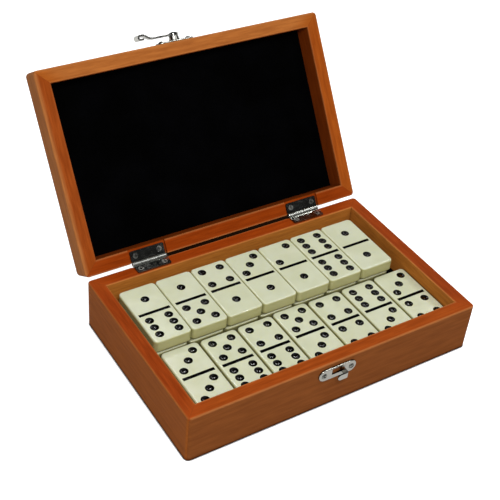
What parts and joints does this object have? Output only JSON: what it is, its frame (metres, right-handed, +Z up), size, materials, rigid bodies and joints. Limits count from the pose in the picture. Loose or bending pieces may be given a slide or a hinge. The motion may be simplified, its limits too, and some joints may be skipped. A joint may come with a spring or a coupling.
{
  "type": "domino storage box",
  "caption": "Hinged wooden box with a velvet-lined lid, a swing-hook latch and rows of ivory dominoes that lift out.",
  "frame": {"origin": "centre of the underside of the box, on the surface it stands on", "axes": "+X to the right along the front wall, +Y from the latch side to the hinged back wall, +Z up; the lid is stored open"},
  "size_m": [0.1966, 0.2117, 0.1427],
  "materials": {
    "case_wood": "satin lacquer over an orange-brown stain",
    "base_wood": "plain plywood",
    "insert_wood": "plain board, hidden under the lining",
    "floor_velvet": "black velvet",
    "lid_velvet": "black velvet",
    "hinge_metal": "bright plated steel",
    "screw_metal": "bright plated steel",
    "latch_metal": "polished nickel plate",
    "tile_ivory": "glossy ivory, with black pips and centre line"
  },
  "bodies": {
    "box": {"wall_front": "case_wood", "wall_back": "case_wood", "wall_left": "case_wood", "wall_right": "case_wood", "base_board": "base_wood", "floor_insert": "insert_wood", "floor_lining": "floor_velvet", "hinge_left_body_leaf": "hinge_metal", "hinge_left_pin": "hinge_metal", "hinge_right_body_leaf": "hinge_metal", "hinge_right_pin": "hinge_metal", "body_hinge_screws": "screw_metal", "catch_plate": "latch_metal", "catch_screws": "screw_metal", "tile_low_1": "tile_ivory", "tile_low_2": "tile_ivory", "tile_low_3": "tile_ivory", "tile_low_4": "tile_ivory", "tile_low_5": "tile_ivory", "tile_low_6": "tile_ivory", "tile_low_7": "tile_ivory"},
    "lid": {"lid_rail_front": "case_wood", "lid_rail_back": "case_wood", "lid_rail_left": "case_wood", "lid_rail_right": "case_wood", "lid_panel": "case_wood", "lid_lining": "lid_velvet", "hinge_left_lid_leaf": "hinge_metal", "hinge_right_lid_leaf": "hinge_metal", "lid_hinge_screws": "screw_metal", "latch_plate": "latch_metal", "latch_screws": "screw_metal", "latch_rivet": "latch_metal"},
    "hook": {"latch_hook": "latch_metal"},
    "tile_top_1": {"tile_top_1": "tile_ivory"},
    "tile_top_2": {"tile_top_2": "tile_ivory"},
    "tile_top_3": {"tile_top_3": "tile_ivory"},
    "tile_top_4": {"tile_top_4": "tile_ivory"},
    "tile_top_5": {"tile_top_5": "tile_ivory"},
    "tile_top_6": {"tile_top_6": "tile_ivory"},
    "tile_top_7": {"tile_top_7": "tile_ivory"},
    "tile_front_1": {"tile_front_1": "tile_ivory"},
    "tile_front_2": {"tile_front_2": "tile_ivory"},
    "tile_front_3": {"tile_front_3": "tile_ivory"},
    "tile_front_4": {"tile_front_4": "tile_ivory"},
    "tile_front_5": {"tile_front_5": "tile_ivory"},
    "tile_front_6": {"tile_front_6": "tile_ivory"},
    "tile_front_7": {"tile_front_7": "tile_ivory"}
  },
  "joints": [
    {"name": "lid_hinge", "type": "hinge", "parent": "box", "child": "lid", "pos_m": [0, 0.0625, 0.0336], "axis": [-1, 0, 0], "range_deg": [-123, 57]},
    {"name": "hook_swing", "type": "hinge", "parent": "lid", "child": "hook", "pos_m": [-0.0028, 0.13598, 0.13409], "axis": [0, -0.5446, -0.8387], "range_deg": [-90, 90]},
    {"name": "tile_top_1_lift", "type": "slide", "parent": "box", "child": "tile_top_1", "axis": [0, 0, 1], "range_m": [0, 0.045]},
    {"name": "tile_top_2_lift", "type": "slide", "parent": "box", "child": "tile_top_2", "axis": [0, 0, 1], "range_m": [0, 0.045]},
    {"name": "tile_top_3_lift", "type": "slide", "parent": "box", "child": "tile_top_3", "axis": [0, 0, 1], "range_m": [0, 0.045]},
    {"name": "tile_top_4_lift", "type": "slide", "parent": "box", "child": "tile_top_4", "axis": [0, 0, 1], "range_m": [0, 0.045]},
    {"name": "tile_top_5_lift", "type": "slide", "parent": "box", "child": "tile_top_5", "axis": [0, 0, 1], "range_m": [0, 0.045]},
    {"name": "tile_top_6_lift", "type": "slide", "parent": "box", "child": "tile_top_6", "axis": [0, 0, 1], "range_m": [0, 0.045]},
    {"name": "tile_top_7_lift", "type": "slide", "parent": "box", "child": "tile_top_7", "axis": [0, 0, 1], "range_m": [0, 0.045]},
    {"name": "tile_front_1_lift", "type": "slide", "parent": "box", "child": "tile_front_1", "axis": [0, 0, 1], "range_m": [0, 0.045]},
    {"name": "tile_front_2_lift", "type": "slide", "parent": "box", "child": "tile_front_2", "axis": [0, 0, 1], "range_m": [0, 0.045]},
    {"name": "tile_front_3_lift", "type": "slide", "parent": "box", "child": "tile_front_3", "axis": [0, 0, 1], "range_m": [0, 0.045]},
    {"name": "tile_front_4_lift", "type": "slide", "parent": "box", "child": "tile_front_4", "axis": [0, 0, 1], "range_m": [0, 0.045]},
    {"name": "tile_front_5_lift", "type": "slide", "parent": "box", "child": "tile_front_5", "axis": [0, 0, 1], "range_m": [0, 0.045]},
    {"name": "tile_front_6_lift", "type": "slide", "parent": "box", "child": "tile_front_6", "axis": [0, 0, 1], "range_m": [0, 0.045]},
    {"name": "tile_front_7_lift", "type": "slide", "parent": "box", "child": "tile_front_7", "axis": [0, 0, 1], "range_m": [0, 0.045]}
  ]
}
